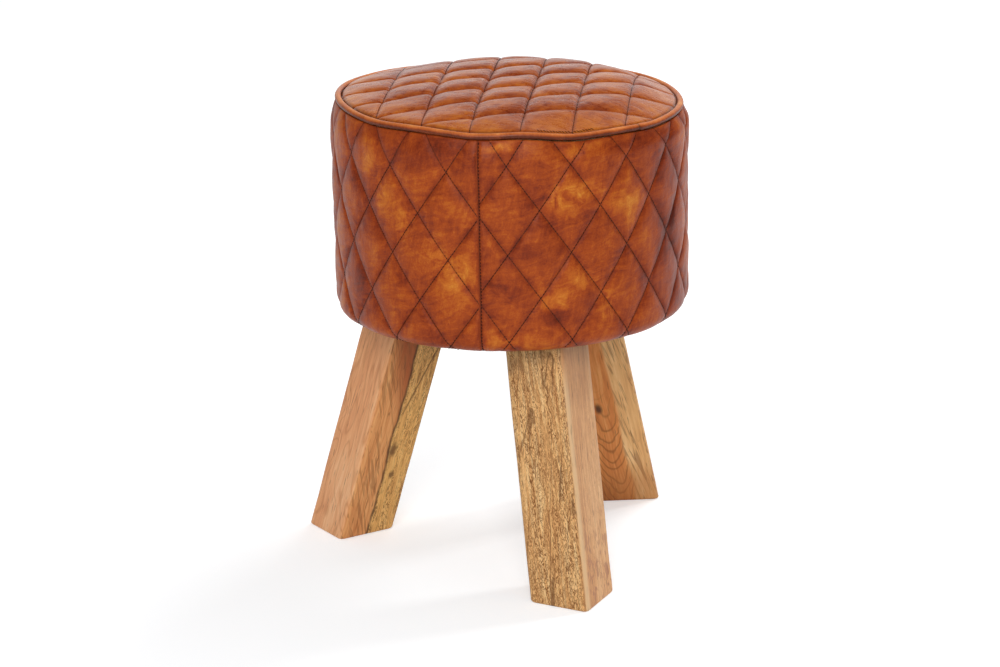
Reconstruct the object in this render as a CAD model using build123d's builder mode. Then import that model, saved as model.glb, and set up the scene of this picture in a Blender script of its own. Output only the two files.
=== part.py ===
from build123d import *
import os
from math import cos, radians, sin, sqrt, tan

os.makedirs("parts", exist_ok=True)

# Leather drum
drum_radius = 170.0
drum_floor_height = 242.0
band_height = 200.2
crown_height = 22.8
quilt_thickness = 8.0
hem_thickness = 2.0
hem_width = 4.2
bottom_roll = 16.0
shoulder_height = 18.0
shoulder_draw = 3.5
soft_gap = 0.3

# Quilting of the side band: slanting stitch lines both ways round the drum
side_diamonds = 18
side_line_slope = 54.6
side_turn = 1.2
side_crossing_height = 94.5
side_groove_depth = 5.0
side_groove_half_width = 10.5
side_groove_arc = 38.0
seam_azimuth = -27.6
seam_groove_width = 5.0
seam_groove_depth = 2.4

# Quilting of the seat top: two sets of stitch lines that cross at a slant
top_pitches = (45.8, 42.8)
top_starts = (-111.6, -112.2)
top_directions = (-23.6, 85.9)
top_counts = (6, 7)
top_groove_depth = 8.0
top_groove_half_width = 14.5
top_groove_curve = 2300.0
top_groove_arc = 9.0
crown_curve = 1500.0
crown_reach = 118.0
top_rim_thickness = 2.0

# Piping round the top seam
piping_radius = 3.1
piping_sides = 8
piping_flange_thickness = 1.0
piping_flange_width = 11.7
piping_inset = 7.6
piping_seat_gap = 0.4

# Padding
side_foam_thickness = 5.4
side_foam_lift = 12.0

# Wooden drum frame
base_board_thickness = 18.0
wall_thickness = 4.0
post_length = 148.0
post_width = 34.0
post_depth = 22.0
post_setback = 20.0
post_count = 3
top_board_thickness = 15.0

# Dust cover under the seat
dust_cover_thickness = 0.8
dust_cover_gap = 1.0

# Legs
leg_width = 60.0
leg_count = 3
leg_foot_reach = 170.0
leg_splay = 16.1
leg_edge_radius = 3.5

# Bolts that hold the legs, which have few sides, as all the screws have
screw_sides = 6
screw_clearance = 0.3
leg_bolt_radius = 5.0
leg_bolt_length = 80.0
leg_bolt_head_radius = 8.5
leg_bolt_head_sides = 6
leg_bolt_head_height = 6.4
leg_bolt_spacing = 30.0
leg_bolt_shift = 2.4
leg_washer_radius = 12.0
leg_washer_sides = 8
leg_washer_thickness = 2.0

# Screws that hold the boards on the posts
board_screw_radius = 2.5
board_screw_length = 50.0
board_screw_head_radius = 5.0
board_screw_head_height = 3.0
board_screw_head_taper = 35.0

# Heights, from the floor up
board_bottom = drum_floor_height + hem_thickness
board_top = board_bottom + base_board_thickness
top_board_bottom = board_top + post_length
top_board_top = top_board_bottom + top_board_thickness
band_top = drum_floor_height + band_height
crown_top = band_top + crown_height
piping_height = band_top + piping_seat_gap + piping_radius
flange_bottom = piping_height - piping_flange_thickness / 2
panel_bottom = flange_bottom + piping_flange_thickness
panel_edge_top = panel_bottom + top_rim_thickness

# Radii, from the drum's upright axis out
band_inner_radius = drum_radius - quilt_thickness
hem_outer_radius = drum_radius - bottom_roll
hem_inner_radius = hem_outer_radius - hem_width
piping_ring_radius = drum_radius - piping_inset
flange_inner_radius = piping_ring_radius - piping_radius - piping_flange_width
panel_radius = piping_ring_radius - piping_radius - 2 * soft_gap
side_foam_outer = band_inner_radius - soft_gap
side_foam_inner = side_foam_outer - side_foam_thickness
base_board_radius = side_foam_inner - soft_gap
wall_inner_radius = base_board_radius - wall_thickness
top_board_radius = wall_inner_radius - soft_gap
post_reach = wall_inner_radius - post_setback
dust_cover_radius = hem_inner_radius - soft_gap
roll_radius = hem_outer_radius + bottom_roll * sin(radians(45))
roll_height = drum_floor_height + bottom_roll * (1 - cos(radians(45)))

# The legs' square posts stand on a corner, so their half diagonal reaches outwards
leg_half_diagonal = leg_width / sqrt(2)
leg_sole_reach = leg_foot_reach + leg_half_diagonal / cos(radians(leg_splay))
leg_top_reach = leg_foot_reach - board_bottom * tan(radians(leg_splay))
leg_bolt_reach = leg_top_reach + leg_bolt_shift
leg_turns = [turn * 360 / leg_count for turn in range(leg_count)]

# The drum's axis stands back from the middle of the footprint's box
drum_set_back = (leg_sole_reach - drum_radius) / 2
drum_base = Vector(0, drum_set_back, 0)
upright = Axis(drum_base, (0, 0, 1))
section = Plane(origin=drum_base, x_dir=(1, 0, 0), z_dir=(0, -1, 0))


def level(height):
    return Plane(origin=(0, drum_set_back, height))


def ring_plane(centre, outward, ring_axis, whole_arc):
    # Holds the ring's axis and is turned back by half of the ring's arc
    start = Vector(*outward).rotate(Axis((0, 0, 0), ring_axis), -whole_arc / 2)
    return Plane(origin=centre, x_dir=start, z_dir=start.cross(Vector(*ring_axis)))


def polar(reach, angle):
    return (reach * cos(radians(angle)), reach * sin(radians(angle)))


# Section of a groove whose flanks pass the given half width at the given depth, and run on out
def groove_points(floor, place, depth, half_width):
    return [
        (floor, place),
        (floor + 2 * depth, place + 2 * half_width),
        (floor + 2 * depth, place - 2 * half_width),
        (floor, place),
    ]


# One slanting groove of the side band, whose line lies in a tilted plane: the near arc of a
# ring as curved as the plane's cut through the drum
def side_groove(slope):
    curve = drum_radius / cos(radians(slope)) ** 2
    centre = (0, curve - drum_radius, drum_floor_height + side_crossing_height)
    ring_axis = (-sin(radians(slope)), 0, cos(radians(slope)))
    floor = curve - side_groove_depth
    with BuildPart() as groove:
        with BuildSketch(ring_plane(centre, (0, -1, 0), ring_axis, side_groove_arc)):
            with BuildLine():
                Polyline(groove_points(floor, 0, side_groove_depth, side_groove_half_width))
            make_face()
        revolve(axis=Axis(centre, ring_axis), revolution_arc=side_groove_arc)
    return groove.part


# One set of side-by-side grooves over the seat top, all about one level axis far below
def top_grooves(direction, start, pitch, count):
    ring_axis = (*polar(1, direction), 0)
    centre = (0, drum_set_back, crown_top - top_groove_depth - top_groove_curve)
    with BuildPart() as grooves:
        with BuildSketch(ring_plane(centre, (0, 0, 1), ring_axis, top_groove_arc)):
            for index in range(count):
                place = start + index * pitch
                floor = sqrt(top_groove_curve**2 - place**2)
                with BuildLine():
                    Polyline(groove_points(floor, place, top_groove_depth, top_groove_half_width))
                make_face()
        revolve(axis=Axis(centre, ring_axis), revolution_arc=top_groove_arc)
    return grooves.part


rising_groove = side_groove(side_line_slope)
falling_groove = side_groove(-side_line_slope)

# Quilted leather side band, drawn in below the piping and turned under at the hem
with BuildPart(level(0)) as side_cover:
    with BuildSketch(section):
        with BuildLine():
            Polyline(
                (hem_inner_radius, drum_floor_height),
                (hem_outer_radius, drum_floor_height),
                (roll_radius, roll_height),
                (drum_radius, drum_floor_height + bottom_roll),
                (drum_radius, band_top - shoulder_height),
                (drum_radius - shoulder_draw, band_top),
                (band_inner_radius, band_top),
                (band_inner_radius, board_bottom + side_foam_lift),
                (side_foam_inner, board_bottom),
                (hem_inner_radius, board_bottom),
                (hem_inner_radius, drum_floor_height),
            )
        make_face()
    revolve(axis=upright)
    with PolarLocations(0, side_diamonds, start_angle=side_turn):
        add([rising_groove, falling_groove], mode=Mode.SUBTRACT)
    with BuildSketch(level(drum_floor_height)):
        with PolarLocations(drum_radius - seam_groove_depth, 1, start_angle=seam_azimuth - 90):
            Polygon(
                (0, 0),
                (2 * seam_groove_depth, -seam_groove_width),
                (2 * seam_groove_depth, seam_groove_width),
                align=None,
            )
    extrude(amount=band_height, mode=Mode.SUBTRACT)
side_cover.part.label = "side_cover"

top_groove_sets = [
    top_grooves(*values) for values in zip(top_directions, top_starts, top_pitches, top_counts)
]
crown_drop = crown_curve - sqrt(crown_curve**2 - crown_reach**2)
crown_half_drop = crown_curve - sqrt(crown_curve**2 - crown_reach**2 / 4)

# Quilted leather seat top, crowned and drawn down at its rim
with BuildPart() as top_cover:
    with BuildSketch(section):
        with BuildLine():
            crown = ThreePointArc(
                (0, crown_top),
                (crown_reach / 2, crown_top - crown_half_drop),
                (crown_reach, crown_top - crown_drop),
            )
            Polyline(
                crown @ 1,
                (panel_radius, panel_edge_top),
                (panel_radius, panel_bottom),
                (0, panel_bottom),
                crown @ 0,
            )
        make_face()
    revolve(axis=upright)
    add(top_groove_sets, mode=Mode.SUBTRACT)
top_cover.part.label = "top_cover"

# Leather piping sewn into the top seam, a roll with a flat flange under the seat top's rim
with BuildPart() as piping:
    with BuildSketch(section):
        with Locations((piping_ring_radius, piping_height)):
            RegularPolygon(piping_radius, piping_sides)
        with Locations((flange_inner_radius, flange_bottom)):
            Rectangle(
                piping_flange_width + piping_radius,
                piping_flange_thickness,
                align=(Align.MIN, Align.MIN),
            )
    revolve(axis=upright)
piping.part.label = "piping"

# Foam pad of the seat, under the piping's flange and the quilted top
with BuildPart() as top_foam:
    with BuildSketch(level(top_board_top)):
        Circle(base_board_radius)
    extrude(amount=flange_bottom - top_board_top)
top_foam.part.label = "top_foam"

# Foam layer round the drum wall
with BuildPart() as side_foam:
    with BuildSketch(level(board_bottom + side_foam_lift)):
        Circle(side_foam_outer)
        Circle(side_foam_inner, mode=Mode.SUBTRACT)
    extrude(amount=band_top - board_bottom - side_foam_lift)
side_foam.part.label = "side_foam"

# Thin bent plywood wall of the drum
with BuildPart() as drum_wall:
    with BuildSketch(level(board_top)):
        Circle(base_board_radius)
        Circle(wall_inner_radius, mode=Mode.SUBTRACT)
    extrude(amount=top_board_top - board_top)
drum_wall.part.label = "drum_wall"


# Countersunk screw about the drum's upright axis, set into its board from the head's flat, or
# the bore for it, wider all round by the clearance
def board_screw(head_level, step, clearance):
    radius = board_screw_radius + clearance
    with BuildPart() as screw:
        with BuildSketch(Plane.XY.offset(head_level)):
            RegularPolygon(board_screw_head_radius + clearance, screw_sides)
        extrude(amount=board_screw_head_height * step, taper=board_screw_head_taper)
        with BuildSketch(Plane.XY.offset(head_level)):
            RegularPolygon(radius, screw_sides)
        extrude(amount=(board_screw_length + clearance) * step)
    return screw.part


base_screw = board_screw(board_bottom, 1, 0)
base_screw_bore = board_screw(board_bottom, 1, screw_clearance)
top_screw = board_screw(top_board_top, -1, 0)
top_screw_bore = board_screw(top_board_top, -1, screw_clearance)
post_turn = 180 / post_count + 90

# Screws through the base board into the posts
with BuildPart(level(0)) as base_screws:
    with PolarLocations(post_reach, post_count, start_angle=post_turn):
        add(base_screw)
base_screws.part.label = "base_screws"

# Screws through the top board into the posts
with BuildPart(level(0)) as top_screws:
    with PolarLocations(post_reach, post_count, start_angle=post_turn):
        add(top_screw)
top_screws.part.label = "top_screws"

# Base board that carries the drum and takes the legs
with BuildPart(level(0)) as base_board:
    with BuildSketch(level(board_bottom)):
        Circle(base_board_radius)
        with PolarLocations(leg_bolt_reach, leg_count, start_angle=-90):
            with GridLocations(0, leg_bolt_spacing, 1, 2):
                RegularPolygon(leg_bolt_radius + screw_clearance, screw_sides, mode=Mode.SUBTRACT)
    extrude(amount=base_board_thickness)
    with PolarLocations(post_reach, post_count, start_angle=post_turn):
        add(base_screw_bore, mode=Mode.SUBTRACT)
base_board.part.label = "base_board"

# Top board under the seat foam
with BuildPart(level(0)) as top_board:
    with BuildSketch(level(top_board_bottom)):
        Circle(top_board_radius)
    extrude(amount=top_board_thickness)
    with PolarLocations(post_reach, post_count, start_angle=post_turn):
        add(top_screw_bore, mode=Mode.SUBTRACT)
top_board.part.label = "top_board"

# Posts that hold the two boards apart, bored at both ends for the board screws
with BuildPart(level(0)) as frame_posts:
    with BuildSketch(level(board_top)):
        with PolarLocations(post_reach, post_count, start_angle=post_turn):
            Rectangle(post_depth, post_width)
    extrude(amount=post_length)
    with PolarLocations(post_reach, post_count, start_angle=post_turn):
        add([base_screw_bore, top_screw_bore], mode=Mode.SUBTRACT)
frame_posts.part.label = "frame_posts"


# Square wooden leg set corner outwards and splayed, cut level at the floor and at the board
def splayed_leg(turn):
    lean = radians(leg_splay)
    side = radians(turn - 90)
    foot = (leg_foot_reach * cos(side), drum_set_back + leg_foot_reach * sin(side), 0)
    inward = (-sin(lean) * cos(side), -sin(lean) * sin(side), cos(lean))
    across = (-sin(side), cos(side), 0)
    with BuildPart() as leg:
        with BuildSketch(Plane(origin=foot, x_dir=across, z_dir=inward)):
            Rectangle(leg_width, leg_width, rotation=45)
        extrude(amount=board_bottom + leg_width, both=True)
        fillet(leg.edges().filter_by(Axis(foot, inward)), leg_edge_radius)
        split(bisect_by=level(board_bottom), keep=Keep.BOTTOM)
        split(bisect_by=level(0), keep=Keep.TOP)
        with BuildSketch(level(board_bottom)):
            with PolarLocations(leg_bolt_reach, 1, start_angle=turn - 90):
                with GridLocations(0, leg_bolt_spacing, 1, 2):
                    RegularPolygon(leg_bolt_radius + screw_clearance, screw_sides)
        extrude(amount=-leg_bolt_bite, mode=Mode.SUBTRACT)
    return leg


leg_bolt_bite = leg_bolt_length - base_board_thickness - leg_washer_thickness + screw_clearance

leg_front = splayed_leg(leg_turns[0])
leg_front.part.label = "leg_front"

leg_right = splayed_leg(leg_turns[1])
leg_right.part.label = "leg_right"

leg_left = splayed_leg(leg_turns[2])
leg_left.part.label = "leg_left"

# Washers under the heads of the leg bolts
with BuildPart() as leg_washers:
    with BuildSketch(level(board_top)):
        with PolarLocations(leg_bolt_reach, leg_count, start_angle=-90):
            with GridLocations(0, leg_bolt_spacing, 1, 2):
                RegularPolygon(leg_washer_radius, leg_washer_sides)
                RegularPolygon(leg_bolt_radius + screw_clearance, screw_sides, mode=Mode.SUBTRACT)
    extrude(amount=leg_washer_thickness)
leg_washers.part.label = "leg_washers"

# Hexagon-headed wood screws down through the base board into the legs
with BuildPart() as leg_bolts:
    with BuildSketch(level(board_top + leg_washer_thickness)):
        with PolarLocations(leg_bolt_reach, leg_count, start_angle=-90):
            with GridLocations(0, leg_bolt_spacing, 1, 2):
                RegularPolygon(leg_bolt_head_radius, leg_bolt_head_sides)
    extrude(amount=leg_bolt_head_height)
    with BuildSketch(level(board_top + leg_washer_thickness)):
        with PolarLocations(leg_bolt_reach, leg_count, start_angle=-90):
            with GridLocations(0, leg_bolt_spacing, 1, 2):
                RegularPolygon(leg_bolt_radius, screw_sides)
    extrude(amount=-leg_bolt_length)
leg_bolts.part.label = "leg_bolts"

# Woven dust cover under the base board, cut out round the leg tops
with BuildPart() as dust_cover:
    with BuildSketch(level(board_bottom)):
        Circle(dust_cover_radius)
        with PolarLocations(leg_top_reach, leg_count, start_angle=-90):
            reach = leg_half_diagonal / cos(radians(leg_splay)) + dust_cover_gap
            across = leg_half_diagonal + dust_cover_gap
            Polygon((reach, 0), (0, across), (-reach, 0), (0, -across), mode=Mode.SUBTRACT)
    extrude(amount=-dust_cover_thickness)
dust_cover.part.label = "dust_cover"

export_step(side_cover.part, "parts/side_cover.step")
export_step(top_cover.part, "parts/top_cover.step")
export_step(piping.part, "parts/piping.step")
export_step(top_foam.part, "parts/top_foam.step")
export_step(side_foam.part, "parts/side_foam.step")
export_step(drum_wall.part, "parts/drum_wall.step")
export_step(base_board.part, "parts/base_board.step")
export_step(top_board.part, "parts/top_board.step")
export_step(frame_posts.part, "parts/frame_posts.step")
export_step(base_screws.part, "parts/base_screws.step")
export_step(top_screws.part, "parts/top_screws.step")
export_step(leg_front.part, "parts/leg_front.step")
export_step(leg_right.part, "parts/leg_right.step")
export_step(leg_left.part, "parts/leg_left.step")
export_step(leg_washers.part, "parts/leg_washers.step")
export_step(leg_bolts.part, "parts/leg_bolts.step")
export_step(dust_cover.part, "parts/dust_cover.step")
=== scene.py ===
import bmesh
import bpy
import numpy as np
from mathutils import Matrix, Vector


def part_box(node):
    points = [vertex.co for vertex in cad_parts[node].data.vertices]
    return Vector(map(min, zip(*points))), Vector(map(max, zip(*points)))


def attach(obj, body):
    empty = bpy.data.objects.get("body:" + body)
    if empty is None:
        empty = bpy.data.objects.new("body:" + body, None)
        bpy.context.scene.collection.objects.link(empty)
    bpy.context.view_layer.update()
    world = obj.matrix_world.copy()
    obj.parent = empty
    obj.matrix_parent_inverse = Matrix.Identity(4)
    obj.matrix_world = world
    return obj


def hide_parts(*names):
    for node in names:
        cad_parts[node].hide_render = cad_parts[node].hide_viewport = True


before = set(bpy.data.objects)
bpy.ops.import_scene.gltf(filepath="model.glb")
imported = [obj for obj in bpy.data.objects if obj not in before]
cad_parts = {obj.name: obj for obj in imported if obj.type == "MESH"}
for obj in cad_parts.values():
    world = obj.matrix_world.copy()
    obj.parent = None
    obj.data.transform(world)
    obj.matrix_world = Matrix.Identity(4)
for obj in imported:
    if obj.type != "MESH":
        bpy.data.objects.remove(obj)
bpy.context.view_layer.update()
mm = 0.001
sideLow, sideHigh = (np.array(corner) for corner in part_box("side_cover"))
drumX, drumY = ((sideLow + sideHigh) / 2)[:2]  # the drum's upright axis
print("frame loaded")


def smoothStep(low, high, values):
    # 0 at low, 1 at high, 3t^2 - 2t^3 between them
    t = np.clip((values - low) / (high - low), 0, 1)
    return t * t * (3 - 2 * t)


def unit(vectors):
    return vectors / np.maximum(np.linalg.norm(vectors, axis=-1, keepdims=True), 1e-12)


def valueNoise(points, seed, scale):
    # Smooth noise from about -1 to 1: a quarter of the sum of eight sine products whose
    # directions and phases come from the seed, over points in metres
    chance = np.random.default_rng(seed)
    total = np.zeros(points.shape[:-1])
    for _ in range(8):
        heading = unit(chance.normal(size=(2, 3)))
        phase = chance.uniform(0, 2 * np.pi, 2)
        first = np.sin(points @ heading[0] * 2 * np.pi / scale + phase[0])
        total += first * np.sin(points @ heading[1] * 2 * np.pi / scale * 1.37 + phase[1])
    return total / 4


def meshObject(name, vertices, faces, attributes=None):
    # A smooth mesh with its place in its vertices, and one attribute for each entry
    mesh = bpy.data.meshes.new(name)
    mesh.from_pydata(vertices.reshape(-1, 3).tolist(), [], faces)
    for key, values in (attributes or {}).items():
        values = np.asarray(values, dtype=np.float32)
        kind = "FLOAT" if values.size == len(mesh.vertices) else "FLOAT_VECTOR"
        layer = mesh.attributes.new(key, kind, "POINT")
        layer.data.foreach_set("value" if kind == "FLOAT" else "vector", values.ravel())
    mesh.polygons.foreach_set("use_smooth", np.ones(len(mesh.polygons), dtype=bool))
    mesh.update()
    return linked(name, mesh)


def linked(name, data):
    piece = bpy.data.objects.new(name, data)
    bpy.context.scene.collection.objects.link(piece)
    return piece


def gridFaces(countU, countV, wrapU=False, wrapV=False):
    # Vertex (i, j) has number i * countV + j, and each face joins it with its next neighbours
    i = np.arange(countU if wrapU else countU - 1)[:, None]
    j = np.arange(countV if wrapV else countV - 1)[None, :]
    nextI, nextJ = (i + 1) % countU, (j + 1) % countV
    corners = (i * countV + j, nextI * countV + j, nextI * countV + nextJ, i * countV + nextJ)
    return np.stack([corner.ravel() for corner in np.broadcast_arrays(*corners)], axis=1).tolist()


def closedTube(grid, first, last):
    # Rings that run round the first axis of the grid, closed at both ends by fans to a point
    countU, countV = grid.shape[:2]
    faces = gridFaces(countU, countV, wrapU=True)
    total = countU * countV
    step = np.arange(countU)
    after = (step + 1) % countU
    low, high = step * countV, step * countV + countV - 1
    faces += np.stack([after * countV, low, np.full(countU, total)], 1).tolist()
    faces += np.stack([high, after * countV + countV - 1, np.full(countU, total + 1)], 1).tolist()
    return np.concatenate([grid.reshape(-1, 3), [first], [last]]), faces


def evenAngles(count):
    # A whole turn in even steps, as a column
    return (np.arange(count) / count * 2 * np.pi)[:, None]


def aroundDrum(theta, radius, height):
    # Point at an angle from the front, counted towards +X, and at a radius and height in
    # millimetres
    x = drumX + radius * mm * np.sin(theta)
    y = drumY - radius * mm * np.cos(theta)
    return np.stack(np.broadcast_arrays(x, y, height * mm), axis=-1)


def threadRow(centres, tangents, normals, size):
    # One stitch per centre: a six-sided rod along the tangent whose ends dip by sink * t^2.
    # size holds the length, radius and sink in millimetres
    length, radius, sink = (value * mm for value in size)
    along = np.array([-1, -0.72, 0, 0.72, 1])
    girth = np.array([0.45, 0.9, 1, 0.9, 0.45])
    sides = 6
    turn = np.arange(sides) * 2 * np.pi / sides
    across = np.cross(normals, tangents)
    offsets = (
        tangents[:, None, None, :] * (along * length / 2)[None, :, None, None]
        - normals[:, None, None, :] * (sink * along**2)[None, :, None, None]
        + across[:, None, None, :] * (radius * girth[:, None] * np.cos(turn))[None, :, :, None]
        + normals[:, None, None, :] * (radius * girth[:, None] * np.sin(turn))[None, :, :, None]
    )
    vertices = centres[:, None, None, :] + offsets
    ring = np.arange(len(along) - 1)[:, None] * sides
    step = np.arange(sides)[None, :]
    after = (step + 1) % sides
    quads = np.stack([ring + step, ring + after, ring + sides + after, ring + sides + step], -1)
    starts = np.arange(len(centres)) * sides * len(along)
    quads = (starts[:, None, None] + quads.reshape(-1, 4)[None]).reshape(-1, 4).tolist()
    firstCap = (starts[:, None] + np.arange(sides)[None, ::-1]).tolist()
    lastCap = (starts[:, None] + sides * (len(along) - 1) + np.arange(sides)[None]).tolist()
    return vertices.reshape(-1, 3), quads + firstCap + lastCap


def joinParts(parts):
    # Several vertex and face lists as one
    vertices, faces, count = [], [], 0
    for points, polygons in parts:
        vertices.append(points)
        faces += [[count + corner for corner in polygon] for polygon in polygons]
        count += len(points)
    return np.concatenate(vertices), faces


threadValues = {
    "sideRow": (3.2, 2.3, 0.58, 0.32),  # each: pitch, then a stitch's length, radius and sink
    "seamRow": (3.1, 2.3, 0.62, 0.45),
    "topRow": (3.2, 2.2, 0.45, 0.36),
    "uneven": 0.06,  # share of the pitch by which a stitch strays from its place
    "proud": 0.1,  # how far a row's middle stands above the leather, in millimetres
    "seamProud": 0.3,
    "samples": 400,  # points that follow a line on the top, and on the side and the seam
    "sideSamples": 260,
    "seamSamples": 300,
    "leastSamples": 8,
}


def stitchPath(points, normals, row, seed):
    # Stitches at even arc lengths along a path of points with surface normals
    pitch = row[0] * mm
    gaps = np.linalg.norm(np.diff(points, axis=0), axis=1)
    run = np.concatenate([[0], np.cumsum(gaps)])
    places = np.arange(pitch / 2, run[-1] - pitch / 4, pitch)
    stray = threadValues["uneven"]
    places = places + np.random.default_rng(seed).uniform(-stray, stray, len(places)) * pitch

    def along(values, shift):
        return np.stack([np.interp(places + shift, run, values[:, k]) for k in range(3)], 1)

    tangents = unit(along(points, pitch / 3) - along(points, -pitch / 3))
    up = unit(along(normals, 0))
    up = unit(up - tangents * np.sum(up * tangents, axis=1, keepdims=True))
    return threadRow(along(points, 0), tangents, up, row[1:])


def paint(red, green, blue):
    # A screen colour from 0 to 255 as the linear colour that a shader takes
    channels = np.array([red, green, blue]) / 255
    linear = np.where(channels <= 0.04045, channels / 12.92, ((channels + 0.055) / 1.055) ** 2.4)
    return (*linear.tolist(), 1.0)


def tones(*stops):
    # Colour ramp stops from (position, red, green, blue)
    return [(stop[0], paint(*stop[1:])) for stop in stops]


class Shade:
    # The node tree of a new material or world, written as nested calls
    def __init__(self, name, kind="materials"):
        self.owner = getattr(bpy.data, kind).new(name)
        self.owner.use_nodes = True
        self.tree = self.owner.node_tree
        self.tree.nodes.clear()
        self.place = self.add("TexCoord").outputs["Object"]

    def add(self, kind, inputs=None, **settings):
        node = self.tree.nodes.new("ShaderNode" + kind)
        for key, value in settings.items():
            setattr(node, key, value)
        for key, value in (inputs or {}).items():
            self.feed(node.inputs[key], value)
        return node

    def feed(self, socket, value):
        if isinstance(value, bpy.types.NodeSocket):
            self.tree.links.new(value, socket)
        elif value is not None:
            socket.default_value = value

    def fed(self, kind, values, **settings):
        # A node whose first inputs take the values in their order
        return self.add(kind, dict(enumerate(values)), **settings)

    def attribute(self, name, output="Fac"):
        return self.add("Attribute", attribute_name=name).outputs[output]

    def math(self, operation, *values, clamp=False):
        return self.fed("Math", values, operation=operation, use_clamp=clamp).outputs[0]

    def vector(self, operation, *values, output=0):
        return self.fed("VectorMath", values, operation=operation).outputs[output]

    def times(self, first, second):
        return self.math("MULTIPLY", first, second)

    def linear(self, value, factor, base, clamp=False):
        # base + factor * value
        return self.math("MULTIPLY_ADD", value, factor, base, clamp=clamp)

    def sway(self, value, factor, base, clamp=False):
        # base + factor * (value - 0.5)
        return self.linear(self.math("SUBTRACT", value, 0.5), factor, base, clamp)

    def split(self, vector):
        return self.add("SeparateXYZ", {"Vector": vector}).outputs

    def joined(self, *values):
        return self.fed("CombineXYZ", values).outputs[0]

    def scaled(self, factors, place, turn):
        # Turned first and then scaled along its new directions
        node = self.add("Mapping", {"Vector": place or self.place}, vector_type="TEXTURE")
        node.inputs["Rotation"].default_value = np.radians(turn)
        node.inputs["Scale"].default_value = 1 / np.array(factors, dtype=float)
        return node.outputs[0]

    def noise(self, scale, detail=2.0, rough=0.5, bend=0.0, place=None, output=0):
        inputs = {"Vector": place or self.place, "Scale": scale, "Detail": detail}
        inputs.update({"Roughness": rough, "Distortion": bend})
        return self.add("TexNoise", inputs).outputs[output]

    def grain(self, factors, detail, rough, bend, place=None, turn=(0, 0, 0)):
        # Noise drawn out by factors that differ along its three directions
        return self.noise(1.0, detail, rough, bend, self.scaled(factors, place, turn))

    def bent(self, place, scale, amount):
        # The place pushed about by a smooth noise, amount each way
        drift = self.noise(scale, 2.0, 0.5, 0.0, place, "Color")
        drift = self.vector("SUBTRACT", drift, (0.5, 0.5, 0.5))
        drift = self.vector("MULTIPLY", drift, (2 * amount, 2 * amount, 2 * amount))
        return self.vector("ADD", place, drift)

    def cells(self, scale, feature, place=None):
        inputs = {"Vector": place or self.place, "Scale": scale}
        return self.add("TexVoronoi", inputs, feature=feature).outputs["Distance"]

    def band(self, value, low, high, first=0.0, last=1.0):
        inputs = {"Value": value, "From Min": low, "From Max": high}
        inputs.update({"To Min": first, "To Max": last})
        return self.add("MapRange", inputs, interpolation_type="SMOOTHSTEP").outputs[0]

    def switch(self, share, inputs):
        # One value where the share is 0 and another where it is 1, 0 and 1 unless named
        return self.add("MapRange", {"Value": share, **inputs}).outputs[0]

    def thread(self, value, width, centre=0.5):
        # 1 where the value passes the centre, 0 from a width on
        away = self.math("ABSOLUTE", self.math("SUBTRACT", value, centre))
        return self.band(away, 0.0, width, 1.0, 0.0)

    def spot(self, place, centre, size):
        # 1 within a quarter of an oval's reach, 0 outside it
        away = self.vector("SUBTRACT", place, (*centre, 0))
        away = self.vector("MULTIPLY", away, (1 / size[0], 1 / size[1], 0))
        return self.band(self.vector("LENGTH", away, output=1), 0.25, 1.0, 1.0, 0.0)

    def waves(self, value, count):
        # Rises and falls between 0 and 0.5, count times for each unit of the value
        return self.math("PINGPONG", self.times(value, count), 0.5)

    def ramp(self, value, stops):
        node = self.add("ValToRGB", {"Fac": value})
        elements = node.color_ramp.elements
        while len(elements) < len(stops):
            elements.new(0.5)
        for element, (position, colour) in zip(elements, stops):
            element.position = position
            element.color = colour
        return node.outputs[0]

    def blend(self, amount, first, second):
        node = self.add("Mix", data_type="RGBA")
        for index, value in ((0, amount), (6, first), (7, second)):
            self.feed(node.inputs[index], value)
        return node.outputs[2]

    def stain(self, colour, tone, mask, share=None):
        # The colour drawn towards a screen tone by the mask, or by a share of it
        amount = mask if share is None else self.times(mask, share)
        return self.blend(amount, colour, paint(*tone))

    def bump(self, height, strength, distance, before=None):
        inputs = {"Height": height, "Strength": strength, "Distance": distance}
        return self.add("Bump", {**inputs, "Normal": before}).outputs[0]

    def output(self, shader, kind="Material"):
        node = self.add("Output" + kind)
        self.tree.links.new(shader.outputs[0], node.inputs["Surface"])
        return self.owner

    def finish(self, colour, roughness, normal, mirror=None, metal=None):
        inputs = {"Base Color": colour, "Roughness": roughness, "Normal": normal}
        inputs.update({"Specular IOR Level": mirror, "Metallic": metal})
        return self.output(self.add("BsdfPrincipled", inputs))

    def coat(self, value, stops, dull, relief, mirror=None, metal=None):
        # The value through a ramp, roughness from a band, and bump from a height, its strength
        # and its distance
        colour = self.ramp(value, tones(*stops))
        return self.finish(colour, self.band(*dull), self.bump(*relief), mirror, metal)


def wear(piece, material):
    piece.data.materials.clear()
    piece.data.materials.append(material)


def settle(piece, material, slot, *nodes):
    # Finish, body and the nodes that a piece stands for
    wear(piece, material)
    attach(piece, "root")
    if nodes:
        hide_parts(*nodes)


cameraValues = {
    "place": (-0.88769, -2.79036, 1.1317),
    "yaw": 17.267,
    "pitch": 17.345,
    "roll": -1.075,
    "lens": 114.4,
    "sensor": 36,
}


def buildCamera():
    # Rolled about its view, raised from looking down to its pitch, and turned by the yaw
    v = cameraValues
    yaw, pitch, roll = (np.radians(v[key]) for key in ("yaw", "pitch", "roll"))
    data = bpy.data.cameras.new("photoCamera")
    data.lens, data.sensor_width = v["lens"], v["sensor"]
    camera = linked("photoCamera", data)
    camera.matrix_world = Matrix.Translation(v["place"])
    for angle, axis in ((-yaw, "Z"), (np.pi / 2 - pitch, "X"), (roll, "Z")):
        camera.matrix_world = camera.matrix_world @ Matrix.Rotation(angle, 4, axis)
    bpy.context.scene.camera = camera


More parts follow.
